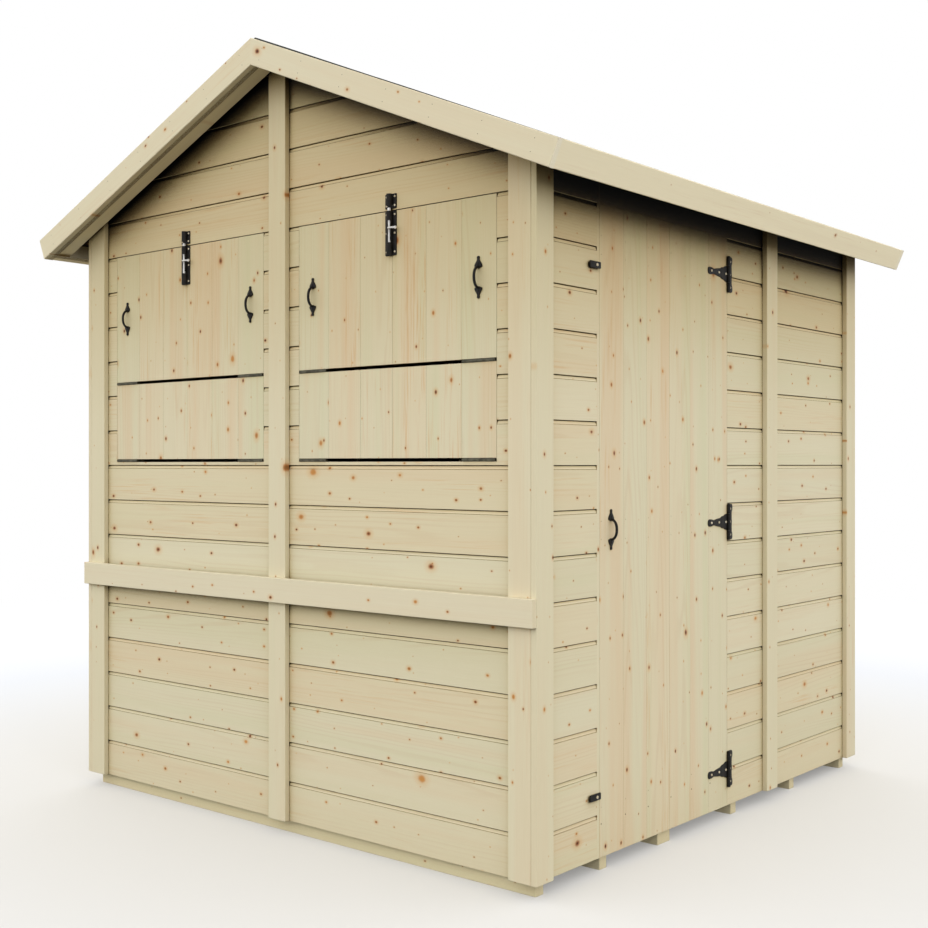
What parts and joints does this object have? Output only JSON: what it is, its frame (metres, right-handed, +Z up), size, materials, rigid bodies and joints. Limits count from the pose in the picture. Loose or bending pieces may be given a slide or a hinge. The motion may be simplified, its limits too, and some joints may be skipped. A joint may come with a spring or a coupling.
{
  "type": "timber garden bar shed",
  "caption": "Apex timber shed clad in shiplap, with fold-down bar hatches in its front gable, a counter rail and a side door on T-hinges.",
  "frame": {"origin": "on the ground under the middle of the roof, at the undersides of the floor bearers", "axes": "+Z up; the front gable with the bar hatches faces -Y; the wall with the door faces +X"},
  "size_m": [2.11, 2.042, 2.2392],
  "materials": {
    "cladding_timber": "pale greenish-cream planed softwood with fine grain and small knots",
    "trim_timber": "pale cream planed softwood battens, lighter end grain",
    "framing_timber": "sawn softwood, a little darker than the outside",
    "dark_roof_boards": "dark-stained roof boards",
    "roofing_felt": "mineral roofing felt, near black, matt and gritty",
    "black_iron": "black antique-style ironwork, satin, slightly hammered",
    "zinc_plated_steel": "bright zinc-plated steel"
  },
  "bodies": {
    "shed": {"floor_bearers": "framing_timber", "floor_boards": "framing_timber", "front_wall_lower": "cladding_timber", "front_wall_gable": "cladding_timber", "front_wall_strips": "cladding_timber", "left_wall": "cladding_timber", "back_wall": "cladding_timber", "right_wall_front": "cladding_timber", "right_wall_back": "cladding_timber", "right_wall_header": "cladding_timber", "wall_posts": "framing_timber", "wall_rails": "framing_timber", "front_trims": "trim_timber", "back_trims": "trim_timber", "right_trims": "trim_timber", "left_trims": "trim_timber", "bar_rail": "trim_timber", "roof_boards": "dark_roof_boards", "roof_felt": "roofing_felt", "rake_joists": "framing_timber", "ridge_beam": "framing_timber", "bargeboards": "trim_timber", "eave_fascias": "trim_timber", "door_hinge_plates": "black_iron", "turn_button_posts": "black_iron", "bolt_keepers": "black_iron", "sill_hinges": "zinc_plated_steel"},
    "door_leaf": {"door": "cladding_timber", "door_hinge_straps": "black_iron", "door_handle": "black_iron"},
    "left_counter": {"left_lower_flap": "cladding_timber", "left_flap_hinges": "zinc_plated_steel"},
    "left_shutter": {"left_upper_flap": "cladding_timber", "left_flap_handles": "black_iron", "left_bolt_case": "black_iron"},
    "left_bolt": {"left_bolt_bar": "zinc_plated_steel"},
    "right_counter": {"right_lower_flap": "cladding_timber", "right_flap_hinges": "zinc_plated_steel"},
    "right_shutter": {"right_upper_flap": "cladding_timber", "right_flap_handles": "black_iron", "right_bolt_case": "black_iron"},
    "right_bolt": {"right_bolt_bar": "zinc_plated_steel"},
    "upper_button": {"upper_turn_button": "black_iron"},
    "lower_button": {"lower_turn_button": "black_iron"}
  },
  "joints": [
    {"name": "door_hinge", "type": "hinge", "parent": "shed", "child": "door_leaf", "pos_m": [0.9083, 0.0413, 0.878], "axis": [0, 0, 1], "range_deg": [0, 170]},
    {"name": "left_counter_hinge", "type": "hinge", "parent": "shed", "child": "left_counter", "pos_m": [-0.43, -0.907, 1.05975], "axis": [1, 0, 0], "range_deg": [0, 90]},
    {"name": "left_shutter_fold", "type": "hinge", "parent": "left_counter", "child": "left_shutter", "pos_m": [-0.43, -0.907, 1.30725], "axis": [1, 0, 0], "range_deg": [0, 117]},
    {"name": "left_bolt_slide", "type": "slide", "parent": "left_shutter", "child": "left_bolt", "axis": [0, 0, -1], "range_m": [-0.017, 0.031]},
    {"name": "right_counter_hinge", "type": "hinge", "parent": "shed", "child": "right_counter", "pos_m": [0.43, -0.907, 1.05975], "axis": [1, 0, 0], "range_deg": [0, 90]},
    {"name": "right_shutter_fold", "type": "hinge", "parent": "right_counter", "child": "right_shutter", "pos_m": [0.43, -0.907, 1.30725], "axis": [1, 0, 0], "range_deg": [0, 117]},
    {"name": "right_bolt_slide", "type": "slide", "parent": "right_shutter", "child": "right_bolt", "axis": [0, 0, -1], "range_m": [-0.017, 0.031]},
    {"name": "upper_button_turn", "type": "hinge", "parent": "shed", "child": "upper_button", "pos_m": [0.908, -0.6545, 1.557], "axis": [1, 0, 0], "range_deg": [0, 180]},
    {"name": "lower_button_turn", "type": "hinge", "parent": "shed", "child": "lower_button", "pos_m": [0.908, -0.6545, 0.2], "axis": [1, 0, 0], "range_deg": [0, 180]}
  ]
}
